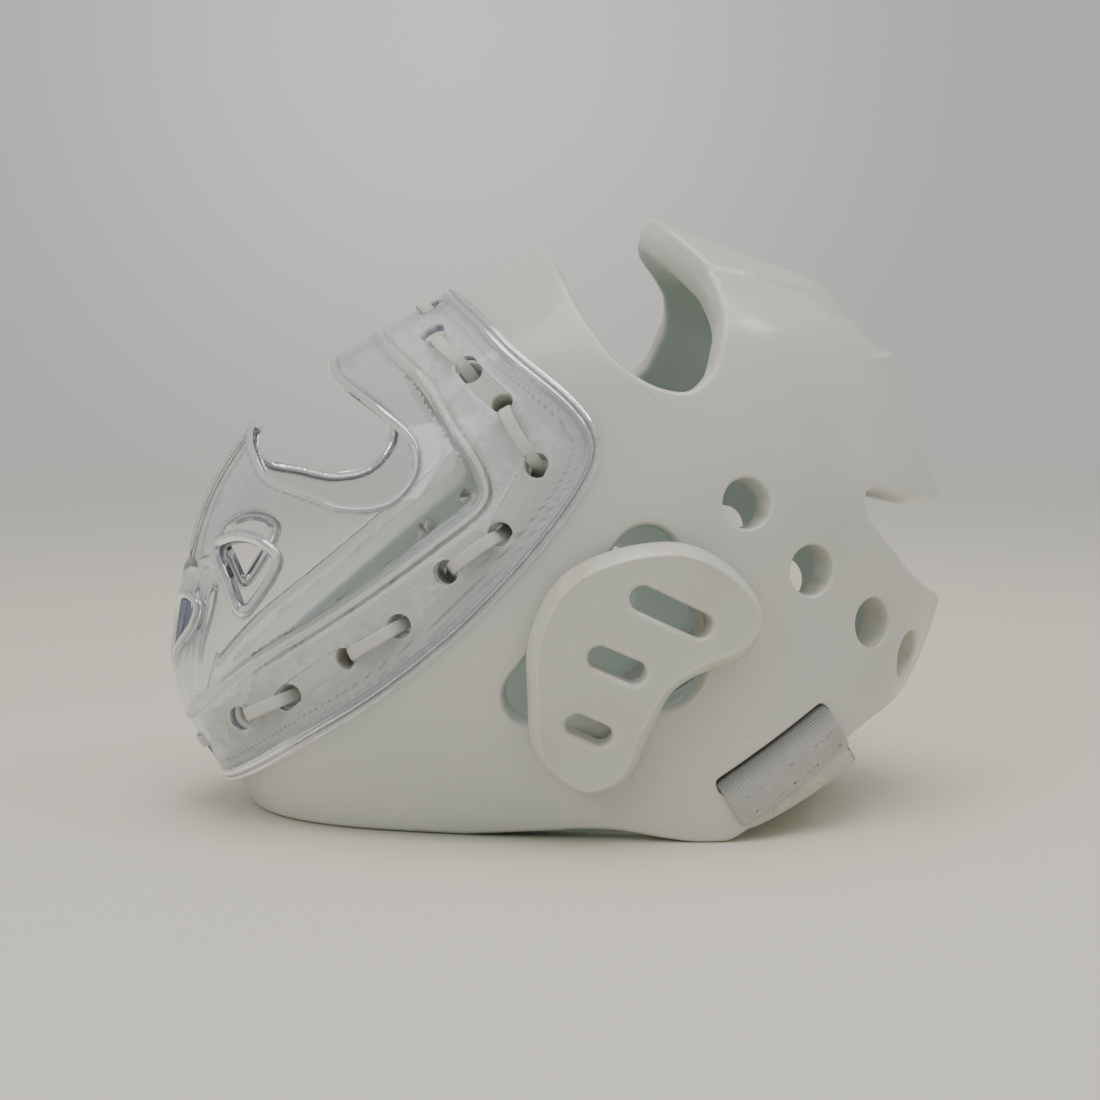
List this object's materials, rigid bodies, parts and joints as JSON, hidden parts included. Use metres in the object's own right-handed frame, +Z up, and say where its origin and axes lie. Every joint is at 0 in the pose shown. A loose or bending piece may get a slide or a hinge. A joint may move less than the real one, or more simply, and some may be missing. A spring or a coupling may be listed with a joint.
{
  "type": "karate head guard",
  "caption": "Open-crown padded foam head guard with a clear face shield laced to its rim, slotted ear covers and an elastic nape strap, standing on its neck rim.",
  "frame": {"origin": "on the surface the guard stands on, under the middle of its box", "axes": "+X to the wearer's left, the face looks along -Y and tilts up, +Z up; the two halves mirror across the plane x = 0"},
  "size_m": [0.2156, 0.303, 0.229],
  "materials": {
    "dipped_foam": "closed-cell foam in a smooth white vinyl coat, satin gloss",
    "clear_polycarbonate": "clear moulded polycarbonate, glossy",
    "moulded_foam": "moulded foam in a smooth white vinyl coat, satin gloss",
    "white_lace": "flat woven lace, matt",
    "ribbed_elastic": "ribbed woven elastic, matt",
    "loop_tape": "fuzzy loop tape, matt"
  },
  "bodies": {
    "root": {"shell": "dipped_foam", "face_shield": "clear_polycarbonate", "ear_cover_left": "moulded_foam", "ear_cover_right": "moulded_foam", "lace": "white_lace", "elastic_left": "ribbed_elastic", "elastic_right": "ribbed_elastic", "nape_tape": "loop_tape"}
  },
  "joints": []
}
